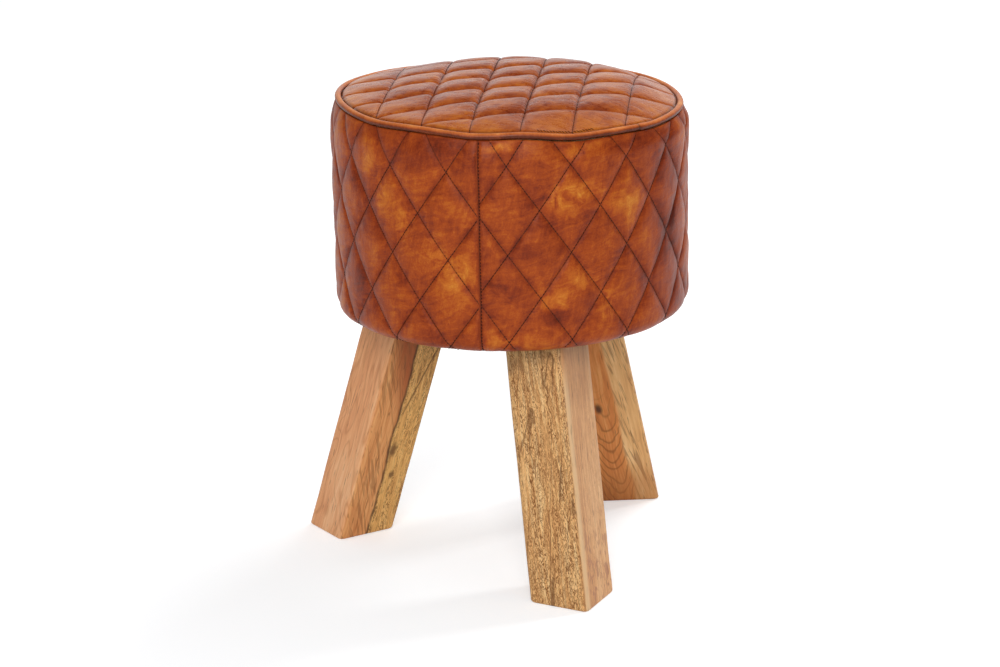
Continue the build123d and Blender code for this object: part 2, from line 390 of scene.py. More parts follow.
lightValues = {
    "softboxes": [
        # name, place, aim, width, height, watts, seen in reflections
        ("keyLight", (1.4, 1.0, 2.4), (0, 0, 0.3), 0.9, 0.9, 19, False),
        ("sideLight", (2.2, 0.45, 1.7), (0, 0, 0.1), 0.4, 0.4, 16, False),
        ("fillLight", (-1.2, -2.7, 2.0), (0, 0, 0.3), 1.6, 1.6, 60, True),
    ],
    "world": 0.40,  # strength of the soft light from all sides
    "mirrorFront": 0.06,  # what a reflection sees on the camera's side
    "mirrorBack": 1.2,  # and behind the object
    "mirrorEdge": (0.6, 1.0),  # cosines from the view's heading where the back begins and is full
    "floorTones": ((0.3, 236, 238, 240), (0.7, 239, 241, 243)),
    "floorGlow": (0.39, 0.54),  # added to the floor's look near the object and far from it
    "floorRadii": (0.3, 0.9),
    "floorSize": 8.0,
}


def buildWorld():
    # White to the camera, an even strength for soft light, and for reflections a white
    # backdrop behind the object that fades to a dim room on the camera's side
    v = lightValues
    shade = Shade("studio", "worlds")
    yaw = np.radians(cameraValues["yaw"])
    ahead = (np.sin(yaw), np.cos(yaw), 0.0)
    heading = shade.vector("DOT_PRODUCT", shade.place, ahead, output="Value")
    mirror = shade.band(heading, *v["mirrorEdge"], v["mirrorFront"], v["mirrorBack"])
    rays = shade.add("LightPath").outputs
    dim = shade.switch(rays["Is Glossy Ray"], {"To Min": v["world"], "To Max": mirror})
    seen = shade.math("MAXIMUM", rays["Is Camera Ray"], rays["Is Transmission Ray"])
    strength = shade.switch(seen, {"To Min": dim})
    sky = shade.add("Background", {"Color": (1, 1, 1, 1), "Strength": strength})
    bpy.context.scene.world = shade.output(sky, "World")


def buildLights():
    # Each softbox stands at its place with its face square to its aim
    for name, place, aim, width, height, watts, mirrored in lightValues["softboxes"]:
        lamp = bpy.data.lights.new(name, "AREA")
        lamp.shape = "RECTANGLE"
        lamp.size, lamp.size_y, lamp.energy = width, height, watts
        light = linked(name, lamp)
        away = unit(np.array(place) - np.array(aim))
        side = unit(np.cross([0, 0, 1.0], away))
        turned = np.stack([side, np.cross(away, side), away], axis=1)
        light.matrix_world = Matrix.Translation(place) @ Matrix(turned.tolist()).to_4x4()
        light.visible_glossy = mirrored


def buildFloor():
    # A pale sheet that shows near white, with the object's shadow left in it
    v = lightValues
    corners = np.array([[-1, -1, 0], [1, -1, 0], [1, 1, 0], [-1, 1, 0]]) * v["floorSize"]
    floor = meshObject("studioFloor", corners, [[0, 1, 2, 3]])
    shade = Shade("paleFloor")
    colour = shade.ramp(shade.noise(3.0, 3.0), tones(*v["floorTones"]))
    diffuse = shade.add("BsdfDiffuse", {"Color": colour})
    rays = shade.add("LightPath").outputs
    seen = shade.math("MAXIMUM", rays["Is Camera Ray"], rays["Is Glossy Ray"])
    seen = shade.math("MAXIMUM", seen, rays["Is Transmission Ray"])
    away = shade.vector("LENGTH", shade.place, output=1)
    glow = shade.times(seen, shade.band(away, *v["floorRadii"], *v["floorGlow"]))
    lift = shade.add("Emission", {"Strength": glow})
    wear(floor, shade.output(shade.fed("AddShader", (diffuse.outputs[0], lift.outputs[0]))))


buildCamera()
buildWorld()
buildLights()
buildFloor()
bpy.context.scene.view_settings.view_transform = "Standard"
print("camera, light and floor done")


# How far the sewn rim stands above or below an even level, in millimetres, at angles from the
# front towards +X: the seat was pulled up on the left and sags on the right
rimValues = {
    "angles": [-180, -150, -125, -105, -88, -76, -64, -54, -46, -38, -30, -22, -15, -9, -4, 1, 6,
               14, 22, 29, 35, 60, 80, 105, 140, 180],
    "lifts": [-2.7, 1.4, 4.4, 5.3, 5.3, 4.2, 3.1, 4.4, 4.5, 3.2, 1.3, 1.7, 2.5, 1.0, -1.0, -3.0,
              -3.6, -2.8, -3.1, -4.4, -5.8, -5.8, -5.8, -4.8, -3.8, -2.7],
    "blur": 2.5,
    "weights": (1, 2, 3, 2, 1),
}


def rimLift(theta):
    # The table's line, blurred over five neighbouring angles
    v = rimValues
    degrees = np.degrees(theta)
    total = 0
    for step, weight in zip((-2, -1, 0, 1, 2), v["weights"]):
        turned = (degrees + step * v["blur"] + 180) % 360 - 180
        total = total + weight * np.interp(turned, v["angles"], v["lifts"])
    return total / sum(v["weights"])


sideValues = {
    "valley": 166.6,  # radius of the stitch lines, in millimetres as all sizes here
    "puff": 3.4,  # height of a pillow, of which each has a share, more or less by the spread
    "puffShare": 0.92,
    "puffSpread": 0.16,
    "seamPuff": 0.35,  # share of the height that is left beside the seam
    "proud": 0.8,  # how far the leather stands outside the valleys' radius everywhere
    "fullness": (3.0, 3.0, 0.62),  # powers of the pillow's shape both ways, and of the whole
    "cellSteps": (7.13, 3.71),
    "waves": ((0.55, 11, 0.085), (0.2, 12, 0.024)),  # height, seed and length in metres
    "lineSpacing": 48.0,
    "creaseDepth": 0.4,
    "creaseWidth": 1.1,
    "rollRadius": 12.8,
    "bottom": 242.9,
    "hemWidth": 3.4,  # flat part of the hem beyond the roll
    "wallTop": 422.0,
    "shoulderRadius": 62.0,
    "top": 442.0,
    "liftFrom": 412.0,  # level above which the rim's lift begins
    "hemFade": (238.0, 262.0, 0.12),  # levels between which the pillows grow from a least share
    "topFade": (441.0, 425.0, 0.5),
    "seamAngle": -27.6,
    "seamWidth": (0.2, 3.6),  # distances between which the pillows begin again
    "seamDepth": 0.5,
    "furrow": 1.3,  # half width of the seam's furrow
    "pitchAround": 59.3,
    "pitchHeight": 83.2,
    "crossingHeight": 420.0,
    "slant": 6.5,  # how far the lines have dropped after a whole turn
    "turnPitches": 17.0,
    "driftFade": (26.0, 22.0),  # heights over which the grid takes up the slant at its ends
    "finePerPitch": 44,
    "endMargin": 1.0,
    # radius and level from the top edge in, down behind the foam and out along the hem
    "lining": [
        [163.0, 442.3], [162.1, 441.6], [162.1, 400], [162.1, 340], [162.1, 280], [162.1, 256.4],
        [159.2, 250.2], [156.5, 244.4], [156.3, 243.9], [153, 243.9], [150.3, 243.9],
        [149.9, 243.4],
    ],
    "liningLift": (400.0, 441.0),
    "threadStart": (244.0, 441.2),  # levels that the stitched lines are followed between
    "threadEnds": (238.5, 441.4),  # and those that every stitch stays between
    "threadLines": (-3, 22),  # numbers of the first line and of the one past the last
    "threadGap": 0.03,  # pitches left free at the seam
    "seamLine": (0.012, 243.0, 441.4),  # pitches past the seam, and the row's two ends
}

# Angle of each crossing: pitches are even, apart from the stretch at the back
latticeAngles = np.array([-39.1, -18.8, 62.4, 280.7, 322.0, 342.65])
latticeCounts = np.array([-1.0, 0.0, 4.0, 15.0, 17.0, 18.0])
seamStart = np.interp(sideValues["seamAngle"], latticeAngles, latticeCounts)
seamEnd = np.interp(sideValues["seamAngle"] + 360, latticeAngles, latticeCounts)


def sideProfile(height):
    # Valley line of the band by unrolled height: a straight wall, a shoulder arc above it, and
    # a roll arc below it that ends in the flat hem. Gives radius, level and outward normal
    v = sideValues
    roll, rollLevel = v["rollRadius"], v["bottom"] + v["rollRadius"]
    down = np.clip((rollLevel - height) / roll, 0, np.pi / 2)
    up = np.clip((height - v["wallTop"]) / v["shoulderRadius"], 0, 1)
    hem = np.maximum(rollLevel - roll * np.pi / 2 - height, 0)
    radius = v["valley"] - roll * (1 - np.cos(down)) - hem
    radius = radius - v["shoulderRadius"] * (1 - np.cos(up))
    level = np.where(height < rollLevel, rollLevel - roll * np.sin(down), height)
    level = np.where(height > v["wallTop"], v["wallTop"] + v["shoulderRadius"] * np.sin(up), level)
    return radius, level, np.cos(down + up), np.sin(up) - np.sin(down)


def creaseDip(phase, spacing, width):
    # exp(-(d / width)^2) of the distance d to the nearest whole number
    away = np.abs(phase - np.round(phase)) * spacing
    return np.exp(-((away / width) ** 2))


def pillow(phaseA, phaseB, fullness, bridge=0.0):
    # 1 - |2f - 1|^power of each phase's fraction f, multiplied, and the whole to a power. On the
    # lines of the first set the pillows keep a share of their height, the bridge
    a = bridge + (1 - bridge) * (1 - np.abs(2 * (phaseA - np.floor(phaseA)) - 1) ** fullness[0])
    b = 1 - np.abs(2 * (phaseB - np.floor(phaseB)) - 1) ** fullness[1]
    return (a * b) ** fullness[2]


def cellOf(phaseA, phaseB, steps):
    # A number from 0 to 5 that differs between neighbouring pillows
    return (np.floor(phaseA) * steps[0] + np.floor(phaseB) * steps[1]) % 5.0


def chanceOf(number):
    # A fixed pseudo-random share from 0 to 1 for each number
    return (np.sin(number * 12.9898) * 43758.5453) % 1.0


def growing(low, high, least, values):
    # smoothStep that starts from a least share
    return least + (1 - least) * smoothStep(low, high, values)


def sideSurface(count, height):
    # Band point for a lattice count round the drum and an unrolled height: the profile plus
    # the pillows' rise along its normal, less the creases and the seam's furrow
    v = sideValues
    theta = np.radians(np.interp(count, latticeCounts, latticeAngles))
    radius, level, normalOut, normalUp = sideProfile(height)
    level = level + rimLift(theta) * smoothStep(v["liftFrom"], v["top"], height)
    drop = v["crossingHeight"] - v["slant"] * count / v["turnPitches"] - height
    phaseA, phaseB = count + drop / v["pitchHeight"], count - drop / v["pitchHeight"]
    cell = cellOf(phaseA, phaseB, v["cellSteps"])
    fade = growing(*v["hemFade"], height) * growing(*v["topFade"], height)
    rise = pillow(phaseA, phaseB, v["fullness"])
    crease = (v["lineSpacing"], v["creaseWidth"])
    creases = np.maximum(creaseDip(phaseA, *crease), creaseDip(phaseB, *crease))
    seamAway = np.minimum(np.abs(count - seamStart), np.abs(count - seamEnd)) * v["pitchAround"]
    seamFlat = smoothStep(*v["seamWidth"], seamAway)
    base = aroundDrum(theta, radius, level)
    puff = v["puff"] * (v["puffShare"] + v["puffSpread"] * np.sin(cell * 2.3))
    lift = puff * rise * fade * (v["seamPuff"] + (1 - v["seamPuff"]) * seamFlat)
    lift = lift - v["creaseDepth"] * creases * fade * seamFlat + v["proud"]
    lift = lift - v["seamDepth"] * np.exp(-((seamAway / v["furrow"]) ** 2)) * fade
    for (tall, seed, length), share in zip(v["waves"], (rise, seamFlat)):
        lift = lift + tall * valueNoise(base, seed, length) * share * fade
    outward = np.stack(
        [np.sin(theta) * normalOut, -np.cos(theta) * normalOut, normalUp * np.ones_like(theta)],
        axis=-1,
    )
    around = theta * v["valley"] * mm
    marks = {
        "cellTone": chanceOf(cell),
        "lineA": phaseA,
        "lineB": phaseB,
        "seamAway": seamAway,
        "hide": np.stack([around, height * mm, 0 * around], axis=-1),
    }
    return base + outward * (lift * mm)[..., None], outward, marks


def buildSideBand():
    # The outer face is a grid of lattice counts and heights, and a lining behind it closes it
    v = sideValues
    per, pitch, crossing = v["finePerPitch"], v["pitchHeight"], v["crossingHeight"]
    inner = np.arange(np.ceil(seamStart * per) + 1, np.floor(seamEnd * per)) / per
    counts = np.concatenate([[seamStart], inner])
    hem = v["bottom"] + v["rollRadius"] * (1 - np.pi / 2) - v["hemWidth"]
    top, margin = v["top"], v["endMargin"]
    rows = np.arange(np.ceil((crossing - hem) / pitch * per), (crossing - top) / pitch * per, -1)
    heights = crossing - rows / per * pitch
    heights = heights[(heights > hem + margin) & (heights < top - margin)]
    heights = np.concatenate([[hem], heights, [top]])
    below, above = v["driftFade"]
    away = smoothStep(hem, hem + below, heights) * smoothStep(top, top - above, heights)
    drift = v["slant"] * counts[:, None] / v["turnPitches"]
    grid = heights[None, :] - drift * away[None, :]
    points, _, marks = sideSurface(counts[:, None] * np.ones_like(grid), grid)
    lining = np.array(v["lining"])
    theta = np.radians(np.interp(counts, latticeCounts, latticeAngles))[:, None]
    levels = lining[None, :, 1]
    levels = levels + rimLift(theta) * smoothStep(*v["liningLift"], levels)
    hidden = aroundDrum(theta, lining[None, :, 0], levels)
    vertices = np.concatenate([points, hidden], axis=1)
    half = len(lining) // 2
    for key, values in marks.items():
        nearTop = np.repeat(values[:, -1:], half, axis=1)
        nearHem = np.repeat(values[:, :1], len(lining) - half, axis=1)
        marks[key] = np.concatenate([values, nearTop, nearHem], axis=1)
    faces = gridFaces(*vertices.shape[:2], wrapU=True, wrapV=True)
    return meshObject("quiltedSideBand", vertices, faces, marks)


def buildSideThread():
    # One row of stitches along each line of both sets
    v, row = sideValues, threadValues["sideRow"]
    (low, high), (least, most) = v["threadStart"], v["threadEnds"]
    crossing, pitch = v["crossingHeight"], v["pitchHeight"]
    parts = []
    drop = np.linspace(crossing - high, crossing - low, threadValues["sideSamples"]) / pitch
    for direction in (1, -1):
        for line in range(*v["threadLines"]):
            count = line - direction * drop
            height = crossing - v["slant"] * count / v["turnPitches"] - pitch * drop
            inside = (count > seamStart + v["threadGap"]) & (count < seamEnd - v["threadGap"])
            inside &= (height < most) & (height > least)
            if inside.sum() < threadValues["leastSamples"]:
                continue
            points, outward, _ = sideSurface(count[inside], height[inside])
            points = points + outward * threadValues["proud"] * mm
            parts.append(stitchPath(points, outward, row, line + 50))
    return meshObject("sideQuiltThread", *joinParts(parts))


def buildSeamThread():
    # A row of its own just beside the side seam
    past, low, high = sideValues["seamLine"]
    height = np.linspace(low, high, threadValues["seamSamples"])
    points, outward, _ = sideSurface(np.full_like(height, seamStart + past), height)
    points = points + outward * threadValues["seamProud"] * mm
    return meshObject("sideSeamThread", *stitchPath(points, outward, threadValues["seamRow"], 3))


topValues = {
    "rim": 158.9,
    "rimLevel": 448.4,
    "crown": 17.4,
    "crownPower": 3.5,
    "valley": 457.0,  # lowest level of the stitch lines, and its rise towards the back
    "valleyRise": 3.6,
    "flatter": (40.0, 115.0),  # distances behind the axis between which the quilting flattens
    "lineDepth": (1.2, 3.2, 1.6),  # at the rim, more further in, and less of that at the back
    "depthRadii": (158.0, 126.0),
    "joint": 2.0,  # half height over which the valleys' level bends into the crown's
    "fullness": (5.0, 3.4, 0.62),
    "bridge": 0.3,
    "lean": 0.35,  # above 0 the pillows drop more steeply at their right end
    "leanRadii": (135.0, 105.0),
    "puffShare": 0.95,
    "puffSpread": 0.08,
    "cellSteps": (5.31, 2.77),
    "waves": ((0.5, 21, 0.07), (0.16, 22, 0.02)),  # height, seed and length in metres
    "creases": ((45.0, 1.2), (43.0, 1.0)),  # spacing and width for each set of lines
    "creaseDepth": 0.9,
    "edgeWidth": 9.0,
    "tuck": 1.7,  # how far the edge drops beside the piping
    "tuckFrom": 155.2,
    "rimward": (118.0, 150.0),  # radii between which the look changes towards the rim's
    # radius from which the painted shade of the gap at the piping begins
    "rimGapShadeFrom": 156.4,
    "underside": 446.5,
    "underRadii": [40.0, 100, 128, 142, 151, 157.6],
    "liftInner": 112.0,  # the rim's lift dies out towards this radius
    "sets": [(-23.6, 45.8, -111.6, 6), (85.9, 42.8, -112.2, 7)],  # turn, pitch, start, lines
    "threadMargin": 0.3,
    "rings": 117,
    "spokes": 800,
}


def topPhases(x, y):
    # How many pitches a point lies past each set's first line, along the set's own direction,
    # held half a pitch beyond the outer lines, where the shoulder is one smooth roll
    phases = []
    for turn, pitch, start, count in topValues["sets"]:
        angle = np.radians(turn)
        phase = (x * np.cos(angle) + y * np.sin(angle) - start) / pitch
        phases.append(np.clip(phase, -0.5, count - 0.5))
    return phases


def liftShare(radius):
    return smoothStep(topValues["liftInner"], topValues["rim"], radius)


def topSurface(x, y):
    # Level over a point, in millimetres from the drum's axis: the valleys' plane under a crown
    # of rimLevel + crown * (1 - (r / rim)^power), and pillows between the two
    v = topValues
    r = np.hypot(x, y)
    flatter = smoothStep(*v["flatter"], y)
    envelope = v["rimLevel"] + v["crown"] * (1 - (r / v["rim"]) ** v["crownPower"])
    atRim, within, lost = v["lineDepth"]
    ceiling = envelope - atRim - (within - lost * flatter) * smoothStep(*v["depthRadii"], r)
    lowest = v["valley"] + v["valleyRise"] * flatter
    gap, joint = lowest - ceiling, v["joint"]
    soft = lowest - (gap + joint) ** 2 / (4 * joint)
    valley = np.where(gap > joint, ceiling, np.where(gap < -joint, lowest, soft))
    phaseA, phaseB = topPhases(x, y)
    start = np.floor(phaseA)
    steep = start + (phaseA - start) ** (1 + v["lean"] * smoothStep(*v["leanRadii"], r))
    cell = cellOf(phaseA, phaseB, v["cellSteps"])
    rise = pillow(steep, phaseB, v["fullness"], v["bridge"])
    creases = [creaseDip(phase, *size) for phase, size in zip((phaseA, phaseB), v["creases"])]
    edge = smoothStep(v["rim"], v["rim"] - v["edgeWidth"], r)
    base = np.stack([x * mm, y * mm, 0 * x], axis=-1)
    puff = v["puffShare"] + v["puffSpread"] * np.sin(cell * 2.9)
    level = valley + (envelope - valley) * rise * puff
    level = level - v["creaseDepth"] * np.maximum(*creases) * (0.3 + 0.7 * edge)
    for (tall, seed, length), share in zip(v["waves"], (rise, 1)):
        level = level + tall * valueNoise(base, seed, length) * share * edge
    level = level - v["tuck"] * smoothStep(v["tuckFrom"], v["rim"], r) ** 2
    level = level + rimLift(np.arctan2(x, -y)) * liftShare(r)
    marks = {
        "cellTone": chanceOf(cell),
        "lineA": phaseA,
        "lineB": phaseB,
        "rimward": smoothStep(*v["rimward"], r),
        # painted shade in the gap where the top tucks under the piping
        "rimGapShade": smoothStep(v["rimGapShadeFrom"], v["rim"], r),
        "hide": base,
    }
    return level, marks


def topPoint(x, y):
    return np.stack([drumX + x * mm, drumY + y * mm, topSurface(x, y)[0] * mm], axis=-1)


def topNormal(x, y):
    # Cross product of the two central differences
    step = 0.4
    du = topPoint(x + step, y) - topPoint(x - step, y)
    dv = topPoint(x, y + step) - topPoint(x, y - step)
    return unit(np.cross(du, dv))


def buildSeatTop():
    # Rings from the underside's middle out to the rim and over the crown to its middle
    v = topValues
    theta = evenAngles(v["spokes"])
    radii = np.linspace(0, v["rim"], v["rings"] + 1)[1:][::-1][None, :]
    x, y = radii * np.cos(theta), radii * np.sin(theta)
    _, marks = topSurface(x, y)
    low = np.array([v["underRadii"] + [v["rim"]]])
    lowX, lowY = low * np.cos(theta), low * np.sin(theta)
    lowLevel = v["underside"] + rimLift(np.arctan2(lowX, -lowY)) * liftShare(low)
    under = np.stack([drumX + lowX * mm, drumY + lowY * mm, lowLevel * mm], axis=-1)
    grid = np.concatenate([under, topPoint(x, y)], axis=1)
    lowest = [drumX, drumY, v["underside"] * mm]
    highest = topPoint(np.array(0.0), np.array(0.0))
    vertices, faces = closedTube(grid, lowest, highest)
    for key, values in marks.items():
        rest = values.shape[2:]
        outer = np.repeat(values[:, :1], low.shape[1], axis=1)
        inner = np.mean(values[:, -1:], axis=0)
        whole = np.concatenate([outer, values], axis=1).reshape(-1, *rest)
        marks[key] = np.concatenate([whole, inner, inner])
    return meshObject("quiltedSeatTop", vertices, faces, marks)


def buildTopThread():
    # One row of stitches along each line of both sets, from rim to rim
    row, proud = threadValues["topRow"], threadValues["proud"]
    edge = topValues["rim"] - topValues["threadMargin"]
    parts = []
    for turn, pitch, start, count in topValues["sets"]:
        angle = np.radians(turn)
        for line in range(count):
            offset = start + line * pitch
            reach = np.sqrt(edge**2 - offset**2)
            run = np.linspace(-reach, reach, threadValues["samples"])
            x = offset * np.cos(angle) - run * np.sin(angle)
            y = offset * np.sin(angle) + run * np.cos(angle)
            normals = topNormal(x, y)
            points = topPoint(x, y) + normals * proud * mm
            parts.append(stitchPath(points, normals, row, line + 50))
    return meshObject("topQuiltThread", *joinParts(parts))


mendValues = {
    "radius": 155.9,
    "stray": 0.35,  # how far the stitches wander across the row
    "angles": (-8.0, 12.0),
    "pitch": 2.9,
    "slope": (50.0, 9.0),  # degrees, and how much they vary
    "proud": 0.3,
    "stitch": (3.2, 0.3, 0.3),
}


def buildMendThread():
    # A short row of slanting stitches along the rim, as from closing the cover by hand
    v = mendValues
    first, last = np.radians(v["angles"])
    theta = np.arange(first, last, v["pitch"] / v["radius"])
    number = np.arange(len(theta))
    reach = v["radius"] + v["stray"] * np.sin(number * 2.4)
    x, y = reach * np.sin(theta), -reach * np.cos(theta)
    normals = topNormal(x, y)
    outward = np.stack([np.sin(theta), -np.cos(theta), 0 * theta], axis=-1)
    along = np.cross(normals, outward)
    slope = np.radians(v["slope"][0] + v["slope"][1] * np.sin(number * 1.7))[:, None]
    tangents = unit(along * np.cos(slope) + outward * np.sin(slope))
    tangents = unit(tangents - normals * np.sum(tangents * normals, axis=1, keepdims=True))
    centres = topPoint(x, y) + normals * v["proud"] * mm
    return meshObject("rimMendThread", *threadRow(centres, tangents, normals, v["stitch"]))


pipingValues = {
    "ring": 162.4,
    "ringWave": (0.2, 5),  # height and count round the ring
    "level": 445.7,
    "waves": ((0.35, 3, 0.6), (0.25, 7, 1.9)),  # height, count and phase
    "radius": 3.1,
    "puckers": (0.07, 163, 17),  # height, count, and how often they swell and fade
    "spliceAngle": 30.0,
    "lap": (-1.6, -0.2, 5.5),  # degrees past the splice: start, full height and end
    "lapRise": 0.35,
    "notch": (-1.4, 0.35, 0.5),  # its place and half width in degrees, and its depth
    "around": 900,
    "sides": 18,
    "flange": (147.9, 156.2, 160.4),  # inner, middle and outer radius
    "flangeHalf": 0.4,
    "flangeStep": 4,
}


def buildPiping():
    # A round section swept round the ring, with the small waves and puckers of hand sewing and
    # one lapped splice, and the flange that runs in under the seat top's rim
    v = pipingValues
    theta, turn = evenAngles(v["around"]), evenAngles(v["sides"]).T
    wave = sum(tall * np.sin(count * theta + phase) for tall, count, phase in v["waves"])
    ring = v["ring"] + v["ringWave"][0] * np.sin(v["ringWave"][1] * theta)
    level = v["level"] + wave + rimLift(theta)
    away = (np.degrees(theta) - v["spliceAngle"] + 180) % 360 - 180
    begin, full, end = v["lap"]
    lap = smoothStep(begin, full, away) * smoothStep(end, 0.0, away)
    place, width, depth = v["notch"]
    notch = np.exp(-(((away - place) / width) ** 2))
    tall, count, swells = v["puckers"]
    swell = 0.5 + 0.5 * np.sin(theta * swells)
    pucker = tall * np.sin(theta * count + 2.8 * np.sin(turn)) * swell
    radius = v["radius"] + v["lapRise"] * lap - depth * notch + pucker
    points = aroundDrum(theta, ring + radius * np.cos(turn), level + radius * np.sin(turn))
    flat = np.zeros_like(points[..., 0])
    hide = [flat + theta * v["ring"] * mm, flat + turn * v["radius"] * mm, flat]
    # upper runs from -1 under the roll to 1 on its top, and carries the painted light and shade
    marks = {"notch": flat + notch, "upper": flat + np.sin(turn), "hide": np.stack(hide, axis=-1)}
    roll = (points.reshape(-1, 3), gridFaces(v["around"], v["sides"], wrapU=True, wrapV=True))
    sparse = theta[:: v["flangeStep"]]
    inner, middle, outer = v["flange"]
    radii = np.array([[outer, outer, middle, inner, inner, middle]])
    levels = v["level"] + np.array([[-1, 1, 1, 1, -1, -1]]) * v["flangeHalf"]
    flange = aroundDrum(sparse, radii, levels + rimLift(sparse) * liftShare(radii))
    faces = gridFaces(len(sparse), radii.shape[1], wrapU=True, wrapV=True)
    vertices, faces = joinParts([roll, (flange.reshape(-1, 3), faces)])
    for key, values in marks.items():
        rest = values.shape[2:]
        none = np.zeros((flange.shape[0] * flange.shape[1], *rest))
        marks[key] = np.concatenate([values.reshape(-1, *rest), none])
    return meshObject("pipingRoll", vertices, faces, marks)


def quiltDistance(shade, spacings, seam):
    # Distance in millimetres to the nearest stitch line, from the phases kept on the mesh
    nearest = shade.attribute("seamAway") if seam else 99.0
    for key, spacing in zip(("lineA", "lineB"), spacings):
        part = shade.math("FRACT", shade.math("ADD", shade.attribute(key), 0.5))
        away = shade.math("ABSOLUTE", shade.math("SUBTRACT", part, 0.5))
        nearest = shade.math("MINIMUM", nearest, shade.times(away, spacing))
    return nearest


def leatherMaterial(name, look):
    # Hand-rubbed leather: painted shade in the creases along the stitch lines, worn golden patches
    # and darker patches, two broad ones of which are painted shade on the flanks, brush strokes
    # laid over each other two ways, small flecks, and a fine pebbled grain
    shade = Shade(name)
    hide = shade.attribute("hide", "Vector")
    loose = shade.bent(hide, 24.0, 0.010)
    near = quiltDistance(shade, look["spacings"], look["seam"])
    clouds = shade.noise(15.0, 3.0, 0.5, 0.0, loose)
    blotches = shade.noise(70.0, 6.0, 0.68, 0.8, hide)
    brush = look["brush"]
    strokes = shade.grain((34, 230, 1), 5.0, 0.62, 0.4, loose, (0, 0, brush))
    crossed = shade.grain((46, 260, 1), 5.0, 0.62, 0.4, loose, (0, 0, brush + look["crossTurn"]))
    flecks = shade.noise(620.0, 4.0, 0.7, 0.0, hide)
    value = look["base"]
    for layer, share in zip((clouds, blotches, strokes, crossed, flecks), look["shares"]):
        value = shade.sway(layer, share, value)
    chance = shade.linear(shade.attribute("cellTone"), 0.8, 0.1)
    rubbed = shade.times(shade.band(near, 3.0, 16.0), chance)
    value = shade.linear(rubbed, look["glow"], value)
    # patches of wear and dye, and two broad ones of painted shade on the flanks
    for angle, height, wide, high, strength in look["patchesAndFlankShade"]:
        centre = (np.radians(angle) * sideValues["valley"] * mm, height * mm)
        patch = shade.spot(loose, centre, (wide * mm, high * mm))
        patch = shade.times(patch, shade.band(blotches, 0.3, 0.62, 0.35, 1.15))
        value = shade.linear(patch, strength, value)
    # painted light on the rounded shoulder: the top is paler towards its rim
    if look["paintedRimLight"]:
        value = shade.linear(shade.attribute("rimward"), look["paintedRimLight"], value)
    # painted shade on the slopes that run down into the stitch lines, stronger under some of the
    # clouds
    creaseShade = shade.band(clouds, 0.35, 0.65, 0.02, 0.15)
    creaseShade = shade.times(shade.band(near, look["creaseShadeReach"], 0.6), creaseShade)
    value = shade.math("SUBTRACT", value, creaseShade, clamp=True)
    colour = shade.ramp(value, look["tones"])
    # painted shade: a dark line where the leather folds down into each stitch line, and on the top
    # a darker rim in the gap at the piping
    line = shade.times(shade.band(near, look["creaseShadeWidth"], 0.2), 0.55)
    line = shade.math("MAXIMUM", line, shade.times(shade.attribute("rimGapShade"), 0.85))
    colour = shade.stain(colour, look["line"], line)
    pebbles = shade.cells(1000.0, "SMOOTH_F1", hide)
    wrinkles = shade.noise(150.0, 4.0, 0.6, 2.0, hide)
    normal = shade.bump(shade.linear(pebbles, 0.5, shade.times(wrinkles, 1.1)), 0.4, 0.0004)
    normal = shade.bump(shade.linear(strokes, 0.4, blotches), 0.35, 0.0016, normal)
    if look["gathers"]:
        normal = gatherBump(shade, look["gathers"], normal)
    gloss = shade.math("ADD", strokes, shade.times(flecks, 0.5))
    dull = shade.band(gloss, 0.45, 1.05, *look["roughness"])
    return shade.finish(colour, dull, normal, look["mirror"])


def gatherBump(shade, depth, before):
    # Small gathers where the leather is drawn down at the cross lines: streaks that run along
    # the pillows' length and die out away from the lines
    phaseA, phaseB = shade.attribute("lineA"), shade.attribute("lineB")
    streaks = shade.joined(shade.times(phaseA, 1.6), shade.times(phaseB, 8.5), 0.0)
    folds = shade.noise(1.0, 3.0, 0.6, 0.9, streaks)
    part = shade.math("FRACT", phaseA)
    close = shade.math("ADD", shade.band(part, 0.55, 0.95), shade.band(part, 0.16, 0.02))
    inward = shade.band(shade.attribute("rimward"), 0.0, 0.5, 1.0, 0.2)
    return shade.bump(shade.times(shade.times(folds, close), inward), 0.9, depth, before)


def pipingMaterial(name, look):
    # Leather drawn tight over a cord: painted paler along the top as its highlight and darker
    # underneath as its shade, with cross wrinkles and a dark splice
    shade = Shade(name)
    hide = shade.attribute("hide", "Vector")
    clouds = shade.noise(30.0, 4.0, 0.6, 0.5, hide)
    flecks = shade.noise(500.0, 4.0, 0.7, 0.0, hide)
    tucks = shade.grain((620, 90, 1), 3.0, 0.6, 0.4, hide, (0, 0, 12))
    # painted highlight and shade: pale on the roll's top, dark on its underside
    value = shade.band(shade.attribute("upper"), -0.2, 0.95, 0.02, 0.72)
    value = shade.sway(flecks, 0.35, shade.sway(clouds, 0.9, value))
    value = shade.sway(tucks, 0.3, value, clamp=True)
    colour = shade.ramp(value, look["tones"])
    colour = shade.stain(colour, look["notch"], shade.attribute("notch"), 0.8)
    normal = shade.bump(shade.math("ADD", tucks, shade.times(flecks, 0.4)), 0.5, 0.0005)
    dull = shade.band(clouds, 0.3, 0.7, *look["roughness"])
    return shade.finish(colour, dull, normal, look["mirror"])


def threadMaterial(name, dark, pale):
    # Waxed thread: fine fuzz over slow changes of tone
    shade = Shade(name)
    fuzz = shade.noise(900.0, 3.0, 0.6)
    value = shade.linear(shade.noise(25.0), 0.5, shade.times(fuzz, 0.5))
    colour = shade.ramp(value, tones((0.3, *dark), (0.75, *pale)))
    return shade.finish(colour, 0.62, shade.bump(fuzz, 0.5, 0.0003), 0.1)


